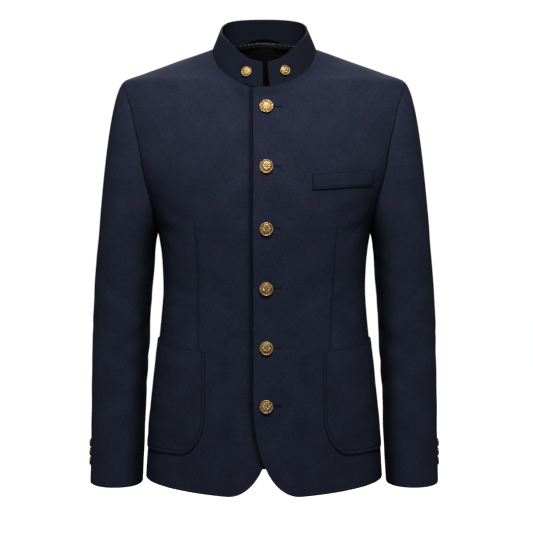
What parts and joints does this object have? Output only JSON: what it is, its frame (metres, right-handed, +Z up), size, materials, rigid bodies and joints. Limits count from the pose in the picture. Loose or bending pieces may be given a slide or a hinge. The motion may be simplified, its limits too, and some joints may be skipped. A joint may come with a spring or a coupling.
{
  "type": "mandarin collar jacket",
  "caption": "Single-breasted jacket with a stand collar, patch pockets, a chest welt and domed metal buttons, hollow as worn, with its sleeves hanging.",
  "frame": {"origin": "centre of the base of the neck, on the shoulder line, where the wearer's shoulders carry the jacket", "axes": "+Z up, the front faces -Y, +X is the wearer's left"},
  "size_m": [0.565, 0.2438, 0.7463],
  "materials": {
    "wool_cloth": "matte navy wool twill with a light nap",
    "lining_satin": "black satin",
    "button_brass": "polished and gilt, in relief"
  },
  "bodies": {
    "root": {"front_left": "wool_cloth", "front_right": "wool_cloth", "back_left": "wool_cloth", "back_right": "wool_cloth", "sleeve_upper_left": "wool_cloth", "sleeve_upper_right": "wool_cloth", "sleeve_under_left": "wool_cloth", "sleeve_under_right": "wool_cloth", "collar": "wool_cloth", "patch_pocket_left": "wool_cloth", "patch_pocket_right": "wool_cloth", "chest_welt": "wool_cloth", "hanging_loop": "wool_cloth", "lining_left": "lining_satin", "lining_right": "lining_satin", "front_button_1": "button_brass", "front_button_2": "button_brass", "front_button_3": "button_brass", "front_button_4": "button_brass", "front_button_5": "button_brass", "front_button_6": "button_brass", "collar_button_left": "button_brass", "collar_button_right": "button_brass", "cuff_button_left_1": "button_brass", "cuff_button_left_2": "button_brass", "cuff_button_left_3": "button_brass", "cuff_button_right_1": "button_brass", "cuff_button_right_2": "button_brass", "cuff_button_right_3": "button_brass"}
  },
  "joints": []
}
